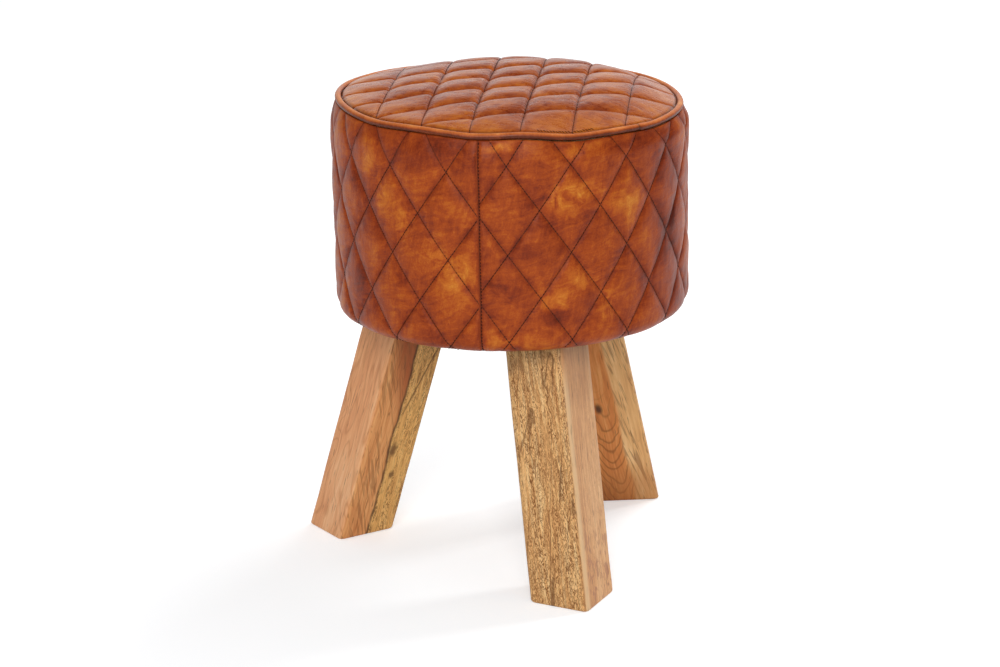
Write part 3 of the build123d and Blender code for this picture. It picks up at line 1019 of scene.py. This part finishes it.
sideLook = {
    "tones": tones(
        (0.0, 84, 27, 12), (0.25, 130, 48, 17), (0.5, 164, 71, 21), (0.75, 190, 101, 30),
        (1.0, 208, 134, 48),
    ),
    "spacings": (48.3, 48.3),  # millimetres between the lines of either set
    "seam": True,
    "base": 0.40,  # tone before the layers, and the layers' shares from clouds to flecks
    "shares": (0.75, 0.75, 0.5, 0.42, 0.42),
    "glow": 0.20,  # paler middles of the pillows, and the rim painted paler as light on the shoulder
    "paintedRimLight": 0.0,
    "brush": 14.0,  # turn of the strokes, and how far the others cross them
    "crossTurn": 62.0,
    # colour and width of the painted crease shade along each stitch line
    "line": (46, 17, 8),
    "creaseShadeWidth": 0.75,
    "creaseShadeReach": 6.0,  # millimetres that the painted crease shade reaches from a line
    "gathers": 0.0,
    "roughness": (0.33, 0.50),
    "mirror": 0.15,
    "patchesAndFlankShade": [
        # angle, height, half width, half height, strength
        (0, 389, 24, 27, 0.32), (7, 394, 20, 17, 0.2), (24, 370, 13, 26, 0.12),
        (298, 384, 13, 28, 0.17), (292, 412, 13, 20, 0.2), (325, 320, 23, 26, 0.26),
        (318, 338, 20, 28, 0.2), (306, 356, 17, 23, 0.2), (-24, 262, 17, 20, 0.14),
        (-13, 254, 36, 10, 0.14), (-4, 294, 23, 17, 0.26), (6, 308, 20, 17, 0.22),
        (14, 280, 14, 23, 0.22), (-22, 437, 22, 8, 0.3), (3, 432, 22, 9, 0.26),
        (312, 422, 24, 16, -0.2), (304, 426, 12, 12, -0.1), (-23, 402, 9, 20, -0.14),
        # the two broad dark patches at 44 and -98 degrees are painted shade on the flanks turned
        # from the light
        (44, 340, 44, 140, -0.24), (-98, 350, 50, 130, -0.24), (-14, 340, 16, 16, -0.16),
        (-5, 276, 14, 12, -0.22), (285, 292, 16, 20, -0.25), (28, 296, 14, 20, -0.2),
        (45, 348, 10, 26, -0.2),
    ],
}
topLook = dict(
    sideLook,
    tones=tones(
        (0.0, 92, 33, 13), (0.25, 142, 59, 20), (0.5, 177, 89, 28), (0.75, 199, 115, 34),
        (1.0, 216, 144, 48),
    ),
    spacings=[pitch for _, pitch, _, _ in topValues["sets"]], seam=False, base=0.395, glow=0.08,
    paintedRimLight=0.14, brush=-30.0, creaseShadeWidth=0.7, creaseShadeReach=3.6, gathers=0.0018,
    roughness=(0.23, 0.40), mirror=0.42, patchesAndFlankShade=[],
)
pipingLook = {
    "tones": tones(
        (0.0, 90, 36, 14), (0.4, 164, 77, 35), (0.75, 208, 117, 57), (1.0, 234, 162, 94),
    ),
    "notch": (44, 16, 8),
    "roughness": (0.31, 0.44),
    "mirror": 0.22,
}

sideLeather = leatherMaterial("rubbedSideLeather", sideLook)
topLeather = leatherMaterial("rubbedTopLeather", topLook)
pipingLeather = pipingMaterial("pipingLeather", pipingLook)
quiltThread = threadMaterial("waxedThread", (24, 10, 5), (58, 26, 12))
seamThread = threadMaterial("waxedSeamThread", (40, 12, 7), (96, 36, 18))

sideBand = buildSideBand()
settle(sideBand, sideLeather, "quilted_leather", "side_cover")
settle(buildSideThread(), quiltThread, "quilted_leather")
settle(buildSeamThread(), seamThread, "quilted_leather")
print("side band done")
seatTop = buildSeatTop()
settle(seatTop, topLeather, "seat_leather", "top_cover")
settle(buildTopThread(), quiltThread, "seat_leather")
settle(buildMendThread(), quiltThread, "seat_leather")
print("seat top done")
piping = buildPiping()
settle(piping, pipingLeather, "piping_leather", "piping")
print("piping done")


foamValues = {
    "seatRadius": 156.0,
    "seatLow": 425.1,
    "seatHigh": 445.5,
    "lowInner": [40, 80, 120, 150],  # radii of the rings under and over the seat pad
    "highInner": [150, 130, 100, 60, 30],
    "wallInner": 156.4,
    "wallOuter": 161.7,
    "wallLow": 256.1,
    "wallHigh": 441.6,
    "wallRows": 9,
    "round": 2.0,
    "seatEdge": 0.6,
    "wallEdge": 0.8,
    "soft": 0.25,  # height of the upper edge's waves, and the levels where they begin
    "softFrom": (430.0, 440.0),
    "spokes": 240,
}


def foamGrid(radii, levels):
    # A section swept round the drum whose upper parts follow the rim's lift
    v = foamValues
    theta = evenAngles(v["spokes"])
    share = liftShare(radii) * smoothStep(v["seatLow"], v["wallHigh"], levels)
    soft = v["soft"] * np.sin(9 * theta + 0.4) * np.sin(4 * theta)
    soft = soft * smoothStep(*v["softFrom"], levels)
    heights = levels[None, :] + rimLift(theta) * share[None, :] + soft
    return aroundDrum(theta, radii[None, :], heights)


def buildSeatFoam():
    # A disc with a rounded upper edge, closed at both middles
    v = foamValues
    edge, low, high, cut = v["seatRadius"], v["seatLow"], v["seatHigh"], v["seatEdge"]
    side = [edge - cut, edge, edge, edge - cut, edge - v["round"]]
    radii = np.array(v["lowInner"] + side + v["highInner"])
    levels = np.full(len(radii), high)
    corner = len(v["lowInner"]) + 1
    levels[:corner] = low
    levels[corner : corner + 3] = low + cut, high - v["round"], high - cut
    ends = ([drumX, drumY, level * mm] for level in (low, high))
    return meshObject("seatFoamPad", *closedTube(foamGrid(radii, levels), *ends))


def buildWallFoam():
    # A ring of sheet foam, from its inner foot out, up and back over its top
    v = foamValues
    inner, outer, low, high = (v[key] for key in ("wallInner", "wallOuter", "wallLow", "wallHigh"))
    cut, rows = v["wallEdge"], v["wallRows"]
    levels = np.linspace(low + v["round"], high - v["round"], rows)
    up = [inner + cut, outer - cut]
    radii = np.concatenate([up, np.full(rows, outer), up[::-1], np.full(rows, inner)])
    heights = np.concatenate([[low, low], levels, [high, high], levels[::-1]])
    grid = foamGrid(radii, heights)
    return meshObject("wallFoamPad", grid, gridFaces(*grid.shape[:2], wrapU=True, wrapV=True))


legValues = {
    "width": 60.0,
    "footReach": 170.0,
    "splay": 16.1,
    "edge": 5.0,
    "endEdge": 2.4,
    "top": 244.0,
    "topInset": ((0.3, 0.3), (0.0, 1.0)),  # depth below the top and inset of its small chamfer
    "rings": 60,
    "perArc": 6,
    "perSide": 10,
    "wave": 0.25,  # height of the planing marks, and their length in metres
    "waveLength": 0.09,
    "evenEnds": 25.0,
}


def squareSection(width, edge, perArc, perSide):
    # Rounded square: its +x side upwards and the corner after it, turned to all four quarters
    half = width / 2
    flat = np.linspace(-half + edge, half - edge, perSide + 1)
    side = np.stack([np.full(perSide + 1, half), flat], 1)
    arc = np.linspace(0, np.pi / 2, perArc + 1)[1:-1]
    corner = half - edge + edge * np.stack([np.cos(arc), np.sin(arc)], 1)
    both = np.concatenate([side, corner])
    quarters = ((1, 0), (0, 1), (-1, 0), (0, -1))
    return np.concatenate([both @ np.array([[c, s], [-s, c]]) for c, s in quarters])


def buildLeg(name, turn, seed):
    # The section is swept along the leaning axis and cut level at the floor and the board:
    # a section point further out sits lower on the axis. The foot is rounded by a quarter turn
    v = legValues
    lean, heading = np.radians(v["splay"]), np.radians(turn - 90)
    aside = np.array([np.cos(heading), np.sin(heading), 0])
    foot = np.array([drumX / mm, drumY / mm, 0]) + v["footReach"] * aside
    axis = np.array([0, 0, np.cos(lean)]) - np.sin(lean) * aside
    across = np.array([-np.sin(heading), np.cos(heading), 0])
    outward = np.cross(across, axis)
    # across and outward turn the section over, so it is counted the other way
    section = squareSection(v["width"], v["edge"], v["perArc"], v["perSide"])[::-1]
    diagonal = np.array([[1, 1], [-1, 1]]) / np.sqrt(2)
    ends, top = v["endEdge"], v["top"]
    arc = np.linspace(0, np.pi / 2, 5)
    levels = [(ends * (1 - np.cos(a)), ends * (1 - np.sin(a))) for a in arc]
    levels += [(height, 0.0) for height in np.linspace(ends, top - 1, v["rings"] + 1)[1:]]
    levels += [(top - depth, inset) for depth, inset in v["topInset"]]
    grid, place = [], []
    for level, inset in levels:
        shrink = 1 - 2 * inset / v["width"]
        flat = (section * shrink) @ diagonal
        length = (level - flat[:, 1] * outward[2]) / np.cos(lean)
        grid.append(foot + across * flat[:, :1] + outward * flat[:, 1:] + axis * length[:, None])
        place.append(np.column_stack([section * shrink, length]))
    grid, place = np.stack(grid, 1) * mm, np.stack(place, 1) * mm
    # hand planing leaves the faces a little uneven between the ends
    height = grid[..., 2] / mm
    even = smoothStep(0, v["evenEnds"], height) * smoothStep(top, top - v["evenEnds"], height)
    push = v["wave"] * mm * valueNoise(grid, seed, v["waveLength"]) * even
    flat = section @ diagonal
    side = unit(flat[:, :1] * across + flat[:, 1:] * outward)
    grid = grid + side[:, None, :] * push[..., None]
    full = top / np.cos(lean) * mm
    points, faces = closedTube(grid, foot * mm, foot * mm + axis * full)
    spots, _ = closedTube(place, [0, 0, 0], [0, 0, full])
    return meshObject(name, points, faces, {"woodPlace": spots})


# Screen tones of the wood: dark, middle and pale for each figure, and one for each mark
woodTones = {
    "frontLeft": ((184, 124, 72), (234, 181, 118), (252, 218, 160)),
    "frontRight": ((184, 122, 76), (220, 164, 112), (242, 200, 150)),
    "peach": ((204, 130, 82), (232, 166, 114), (246, 198, 150)),
    "heart": ((184, 110, 58), (220, 152, 94), (240, 184, 122)),
    "sap": ((194, 134, 74), (234, 180, 106), (250, 212, 144)),
    "warm": ((180, 100, 50), (216, 136, 72), (238, 172, 104)),
    "pale": ((206, 148, 92), (232, 180, 118), (248, 208, 152)),
    "pores": (118, 72, 38),
    "vein": (92, 54, 28),
    "smallFleck": (136, 82, 40),
    "fleck": (116, 66, 28),
    "faintFleck": (166, 106, 66),
    "sapFleck": (118, 70, 34),
    "grey": (132, 96, 66),
    "ripple": (172, 114, 84),
    "shadedTop": (164, 112, 76),
    # painted highlight along the front leg's rounded corner
    "cornerHighlight": (232, 196, 150),
    "growthRing": (182, 112, 60),
    "redHeart": (164, 76, 34),
    "heartStreak": (134, 82, 44),
    "crack": (60, 34, 18),
    "knot": (84, 50, 28),
    "arch": (132, 74, 36),
    "paleStreak": (140, 92, 54),
    "foot": (176, 112, 62),
    "blackKnot": (52, 32, 20),
}
faceEdge = 0.0012  # metres over which one face's figure turns into the next at a leg's corner


class Wood(Shade):
    # Shading over a leg's own place: x and y across it and the length up from its foot, in
    # metres. Figures are drawn out along the length
    def __init__(self, name):
        super().__init__(name)
        self.place = self.attribute("woodPlace", "Vector")
        self.loose = self.bent(self.place, 14.0, 0.004)
        self.fibre = self.grain((430, 430, 24), 4.0, 0.6, 0.2, self.loose)

    def figure(self, name, scale):
        # Broad figure and fibre together through three tones
        broad = self.grain(scale, 4.0, 0.55, 0.6, self.loose)
        value = self.sway(self.fibre, 1.35, self.sway(broad, 0.9, 0.5), clamp=True)
        stops = zip((0.05, 0.5, 0.95), woodTones[name])
        return self.ramp(value, tones(*((at, *tone) for at, tone in stops)))

    def mark(self, colour, name, mask, share=None):
        return self.stain(colour, woodTones[name], mask, share)

    def flecks(self, colour, name, share, scale, turn=0):
        # Dense short squiggles: the crossings of a strongly bent noise, broken up by a second
        field = self.grain(scale, 2.0, 0.5, 1.7, self.loose, (0, 0, turn))
        broken = self.grain((80, 80, 5), 3.0, 0.6, 0.5, self.loose, (0, 0, turn))
        squiggle = self.times(self.thread(field, 0.075), self.band(broken, 0.3, 0.56))
        return self.mark(colour, name, squiggle, share)

    def faces(self, away, behind, ahead):
        # One figure where the value is below 0 and the other where it is above
        return self.blend(self.band(away, -faceEdge, faceEdge), behind, ahead)

    def done(self, colour):
        # Short pores and a fine fibre over whatever figure the faces have
        pores = self.band(self.grain((640, 640, 60), 2.0, 0.5, 0.0), 0.62, 0.72)
        colour = self.mark(colour, "pores", pores, 0.6)
        normal = self.bump(self.linear(pores, -0.7, self.fibre), 0.3, 0.0003)
        normal = self.bump(self.noise(40.0, 3.0, 0.5, 0.0), 0.12, 0.002, normal)
        return self.finish(colour, self.band(self.fibre, 0.3, 0.7, 0.40, 0.54), normal, 0.22)


def frontWood():
    # Spalted, flecked left face and a calm pinkish right one, with a pale strip painted along the
    # corner as its highlight
    wood = Wood("frontLegWood")
    x, y, length = wood.split(wood.place)
    left = wood.figure("frontLeft", (90, 90, 6))
    left = wood.flecks(left, "smallFleck", 0.85, (540, 540, 120), 40)
    left = wood.flecks(left, "fleck", 0.95, (340, 340, 84))
    bent = wood.bent(wood.loose, 60.0, 0.0014)
    veins = wood.thread(wood.grain((46, 46, 1.8), 2.0, 0.45, 0.1, bent, (0, 10, 0)), 0.011)
    left = wood.mark(left, "vein", veins, 0.65)
    clouds = wood.band(wood.noise(30.0, 3.0, 0.6, 0.6), 0.42, 0.6)
    left = wood.mark(left, "grey", wood.times(wood.band(length, 0.185, 0.225), clouds), 0.45)
    right = wood.figure("frontRight", (50, 50, 6))
    right = wood.flecks(right, "faintFleck", 0.35, (520, 520, 90), 30)
    ripple = wood.grain((240, 240, 36), 3.0, 0.5, 0.8, None, (0, 24, 0))
    low = wood.times(wood.band(ripple, 0.5, 0.62), wood.band(length, 0.11, 0.02, 0.15, 0.7))
    right = wood.mark(right, "ripple", low)
    right = wood.mark(right, "shadedTop", wood.band(length, 0.2, 0.25, 0.0, 0.45))
    # painted highlight along the rounded front corner, below the seat
    strip = wood.times(wood.band(y, 0.019, 0.026), wood.band(length, 0.23, 0.19))
    right = wood.mark(right, "cornerHighlight", strip, 0.75)
    return wood.done(wood.faces(wood.math("SUBTRACT", y, x), right, left))


def leftWood():
    # Calm peach face to the left; heartwood against sapwood, with a crack between, to the right
    wood = Wood("leftLegWood")
    x, y, length = wood.split(wood.place)
    peach = wood.figure("peach", (50, 50, 9))
    rings = wood.waves(wood.grain((26, 26, 9), 1.0, 0.4, 0.9), 9.0)
    peach = wood.mark(peach, "growthRing", wood.band(rings, 0.2, 0.0, 0.0, 0.4))
    heart = wood.figure("heart", (60, 60, 8))
    red = wood.band(wood.linear(x, -3.0, length), 0.10, 0.18)
    heart = wood.mark(heart, "redHeart", red, 0.85)
    streak = wood.grain((230, 230, 20), 3.0, 0.55, 0.7, None, (0, 20, 0))
    heart = wood.mark(heart, "heartStreak", wood.band(streak, 0.5, 0.6, 0.0, 0.5))
    sap = wood.figure("sap", (80, 80, 7))
    sap = wood.flecks(sap, "sapFleck", 0.9, (340, 340, 76))
    wave = wood.sway(wood.grain((0, 0, 13), 3.0, 0.55, 0.0), 0.016, x)
    right = wood.faces(wave, sap, heart)
    crack = wood.times(wood.thread(wave, 0.0022, 0.0), wood.band(streak, 0.3, 0.5, 0.45, 1.0))
    right = wood.mark(right, "crack", crack, 0.85)
    line = wood.linear(wood.math("SUBTRACT", length, 0.215), 0.287, x)
    vein = wood.times(wood.thread(line, 0.0016, -0.025), wood.band(length, 0.13, 0.15))
    right = wood.mark(right, "vein", vein, 0.8)
    knotX, _, knotLength = wood.split(wood.bent(wood.place, 110.0, 0.0045))
    flat = wood.joined(knotX, knotLength, 0.0)
    for centre, size in (((-0.004, 0.101), (0.006, 0.011)), ((-0.009, 0.073), (0.004, 0.007))):
        right = wood.mark(right, "knot", wood.spot(flat, centre, size), 0.75)
    return wood.done(wood.faces(wood.math("SUBTRACT", wood.times(y, -1.0), x), peach, right))


def rightWood():
    # Nested arches round a black knot, and a pale strip with slanting veins beside them
    wood = Wood("rightLegWood")
    x, y, length = wood.split(wood.loose)
    warm = wood.figure("warm", (60, 60, 7))
    side = wood.math("ADD", y, 0.006)
    arch = wood.linear(wood.times(side, side), -110.0, length)
    # arches across the other two faces, nothing at the edges of these
    arch = wood.math("ADD", arch, wood.linear(wood.times(x, x), 62.0, -0.056))
    rings = wood.waves(wood.sway(wood.noise(22.0, 3.0, 0.55, 0.3), 0.045, arch), 70.0)
    rings = wood.times(wood.band(rings, 0.22, 0.0), wood.band(length, 0.15, 0.09, 0.05, 0.6))
    warm = wood.mark(warm, "arch", rings)
    pale = wood.figure("pale", (60, 60, 7))
    streak = wood.grain((250, 250, 18), 3.0, 0.55, 0.8, None, (10, 0, 0))
    pale = wood.mark(pale, "paleStreak", wood.band(streak, 0.5, 0.6, 0.0, 0.6))
    edge = wood.sway(wood.noise(12.0, 2.0, 0.5, 0.0), 0.012, y)
    colour = wood.blend(wood.band(edge, 0.005, 0.009), warm, pale)
    colour = wood.mark(colour, "foot", wood.band(length, 0.06, 0.02, 0.0, 0.55))
    knot = wood.spot(wood.joined(y, length, 0.0), (-0.0096, 0.121), (0.005, 0.008))
    return wood.done(wood.mark(colour, "blackKnot", knot, 0.85))


clothValues = {
    "slice": 14.0,  # width of the net's cells
    "slices": (-150, 180),
    "sag": 0.5,
    "sagLength": 0.055,
    "sagRadii": (149.0, 138.0),  # the slack begins inside the staples
    "staples": 36,
    "stapleRadius": 146.3,
    "stapleLevel": 243.0,
    "staple": (9.0, 0.45, 0.0),
    "clearOfLegs": 13.0,  # degrees to either side of a leg
    "area": 0.0584,  # square metres, less the cut-outs round the legs
}


def buildDustCloth():
    # The CAD cover's own outline, cut into a fine net, with a little slack between the staples
    v = clothValues
    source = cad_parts["dust_cover"]
    net = bmesh.new()
    net.from_mesh(source.data)
    net.transform(source.matrix_world)
    bmesh.ops.remove_doubles(net, verts=net.verts, dist=1e-5)
    for direction in ((1, 0, 0), (0, 1, 0)):
        for offset in np.arange(*v["slices"], v["slice"]) * mm:
            geometry = net.verts[:] + net.edges[:] + net.faces[:]
            place = tuple(offset * part for part in direction)
            cut = {"plane_co": place, "plane_no": direction, "dist": 1e-6}
            bmesh.ops.bisect_plane(net, geom=geometry, **cut)
    bmesh.ops.triangulate(net, faces=net.faces[:])
    mesh = bpy.data.meshes.new("dustCloth")
    net.to_mesh(mesh)
    net.free()
    places = np.empty(len(mesh.vertices) * 3)
    mesh.vertices.foreach_get("co", places)
    places = places.reshape(-1, 3)
    radius = np.hypot(places[:, 0] - drumX, places[:, 1] - drumY) / mm
    slack = 0.5 + 0.5 * valueNoise(places * [1, 1, 0], 31, v["sagLength"])
    places[:, 2] -= v["sag"] * mm * slack * smoothStep(*v["sagRadii"], radius)
    mesh.vertices.foreach_set("co", places.ravel())
    mesh.update()
    return linked("dustCloth", mesh)


def buildStaples():
    # Staple backs along the cloth's edge, left out where the legs stand
    v = clothValues
    theta = (np.arange(v["staples"]) + 0.5) / v["staples"] * 2 * np.pi
    fromLeg = np.abs((np.degrees(theta) + 60) % 120 - 60)
    theta = theta[fromLeg > v["clearOfLegs"]]
    centres = aroundDrum(theta, v["stapleRadius"], v["stapleLevel"])
    tangents = np.stack([np.cos(theta), np.sin(theta), 0 * theta], axis=-1)
    downward = np.tile([0.0, 0.0, -1.0], (len(theta), 1))
    return meshObject("clothStaples", *threadRow(centres, tangents, downward, v["staple"]))


# Tones of the cloth, the foam and the inner parts, from dark to pale
innerTones = {
    "cloth": ((0.35, 22, 21, 21), (0.7, 52, 50, 49)),
    "foam": ((0.1, 190, 170, 120), (0.6, 226, 212, 170), (1.0, 240, 232, 204)),
    "plywood": ((0.1, 170, 126, 82), (0.5, 206, 168, 118), (0.9, 226, 196, 150)),
    "pine": ((0.1, 186, 134, 80), (0.5, 216, 176, 120), (0.9, 234, 206, 156)),
    "zinc": ((0.2, 150, 148, 140), (0.8, 206, 206, 202)),
}
bondPitch = 0.0016  # metres between the dots of the non-woven cloth
plyThickness = 0.0032


def clothMaterial():
    # Non-woven cloth: bonded dots in rows over matted fibres
    shade = Shade("blackNonWoven")
    x, y, _ = shade.split(shade.place)
    rows = [shade.math("SINE", shade.times(part, 2 * np.pi / bondPitch)) for part in (x, y)]
    fibres = shade.noise(700.0, 5.0, 0.7, 1.5)
    value = shade.linear(fibres, 0.6, shade.times(shade.noise(20.0, 4.0, 0.6), 0.4))
    relief = (shade.linear(shade.times(*rows), 0.5, fibres), 0.5, 0.0003)
    return shade.coat(value, innerTones["cloth"], (fibres, 0.3, 0.7, 0.8, 0.95), relief, 0.2)


def foamMaterial():
    # Open-cell foam: small pits, and a little yellowed in patches
    shade = Shade("seatFoam")
    pits = shade.cells(700.0, "F1")
    value = shade.linear(pits, -0.35, shade.sway(shade.noise(12.0, 4.0, 0.6), 0.6, 0.75))
    dull, relief = (pits, 0.0, 0.6, 0.95, 0.85), (pits, 0.6, 0.0006)
    return shade.coat(value, innerTones["foam"], dull, relief, 0.2)


def plywoodMaterial():
    # Rotary-cut face veneer, with the plies' bands where the level changes along an edge
    shade = Shade("plywoodVeneer")
    plies = shade.waves(shade.split(shade.place)[2], 1 / plyThickness)
    fibre = shade.grain((60, 900, 900), 4.0, 0.65, 0.0)
    value = shade.sway(shade.grain((9, 130, 130), 4.0, 0.6, 1.0), 0.8, 0.5)
    value = shade.linear(plies, -0.16, shade.sway(fibre, 0.5, value), clamp=True)
    dull, relief = (fibre, 0.3, 0.7, 0.6, 0.75), (fibre, 0.35, 0.0004)
    return shade.coat(value, innerTones["plywood"], dull, relief, 0.35)


def pineMaterial():
    # Sawn softwood: upright grain in early and late bands
    shade = Shade("sawnPine")
    bands = shade.grain((110, 110, 5), 3.0, 0.5, 0.6)
    fibre = shade.grain((800, 800, 30), 4.0, 0.65, 0.0)
    value = shade.sway(fibre, 0.5, shade.sway(bands, 1.3, 0.5), clamp=True)
    relief = (shade.math("ADD", fibre, bands), 0.4, 0.0005)
    return shade.coat(value, innerTones["pine"], (fibre, 0.3, 0.7, 0.65, 0.8), relief, 0.35)


def zincMaterial():
    # Bright zinc plate with a faint yellow cast, scratches and dull spots
    shade = Shade("zincPlate")
    scratches = shade.grain((2600, 300, 300), 4.0, 0.7, 0.0)
    value = shade.sway(scratches, 0.4, shade.noise(260.0, 4.0, 0.6, 0.5), clamp=True)
    dull, relief = (value, 0.3, 0.7, 0.28, 0.48), (value, 0.2, 0.0002)
    return shade.coat(value, innerTones["zinc"], dull, relief, metal=1.0)


legWoods = {"front": (0, frontWood), "left": (-120, leftWood), "right": (120, rightWood)}
for legSide, (legTurn, legLook) in legWoods.items():
    leg = buildLeg("woodLeg" + legSide.capitalize(), legTurn, legTurn + 200)
    settle(leg, legLook(), "leg_wood", "leg_" + legSide)
print("legs done")

foam = foamMaterial()
for pad, padNode in ((buildSeatFoam(), "top_foam"), (buildWallFoam(), "side_foam")):
    settle(pad, foam, "foam", padNode)
dustCloth = buildDustCloth()
settle(dustCloth, clothMaterial(), "dust_cloth", "dust_cover")
staples = buildStaples()
zinc = zincMaterial()
settle(staples, zinc, "zinc_steel")
innerFinishes = [
    (plywoodMaterial(), ("base_board", "top_board", "drum_wall")),
    (pineMaterial(), ("frame_posts",)),
    (zinc, ("base_screws", "top_screws", "leg_bolts", "leg_washers")),
]
for finish, nodeNames in innerFinishes:
    for nodeName in nodeNames:
        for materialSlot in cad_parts[nodeName].material_slots:
            materialSlot.link = "OBJECT"
            materialSlot.material = finish
print("foam, cloth and inner parts done")
